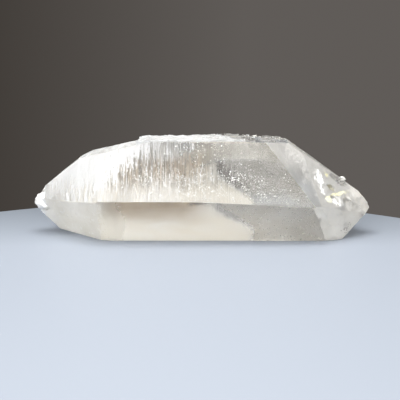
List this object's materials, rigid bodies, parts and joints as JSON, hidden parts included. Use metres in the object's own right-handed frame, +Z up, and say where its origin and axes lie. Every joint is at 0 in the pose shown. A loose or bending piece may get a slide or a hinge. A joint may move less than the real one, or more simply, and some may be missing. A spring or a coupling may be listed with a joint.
{
  "type": "double terminated quartz crystal",
  "caption": "Clear, partly frosted quartz crystal: a six-sided prism with a pyramid at both ends, lying on one prism face.",
  "frame": {"origin": "on the surface the crystal lies on, under the middle of its box", "axes": "+X along the c axis towards the chipped tip, +Z up, the side seen from the front faces -Y"},
  "size_m": [0.1316, 0.0428, 0.0386],
  "materials": {
    "quartz": "clear quartz, frosted white at the left end and on top, chipped at the right end"
  },
  "bodies": {
    "root": {"quartz_crystal": "quartz"}
  },
  "joints": []
}
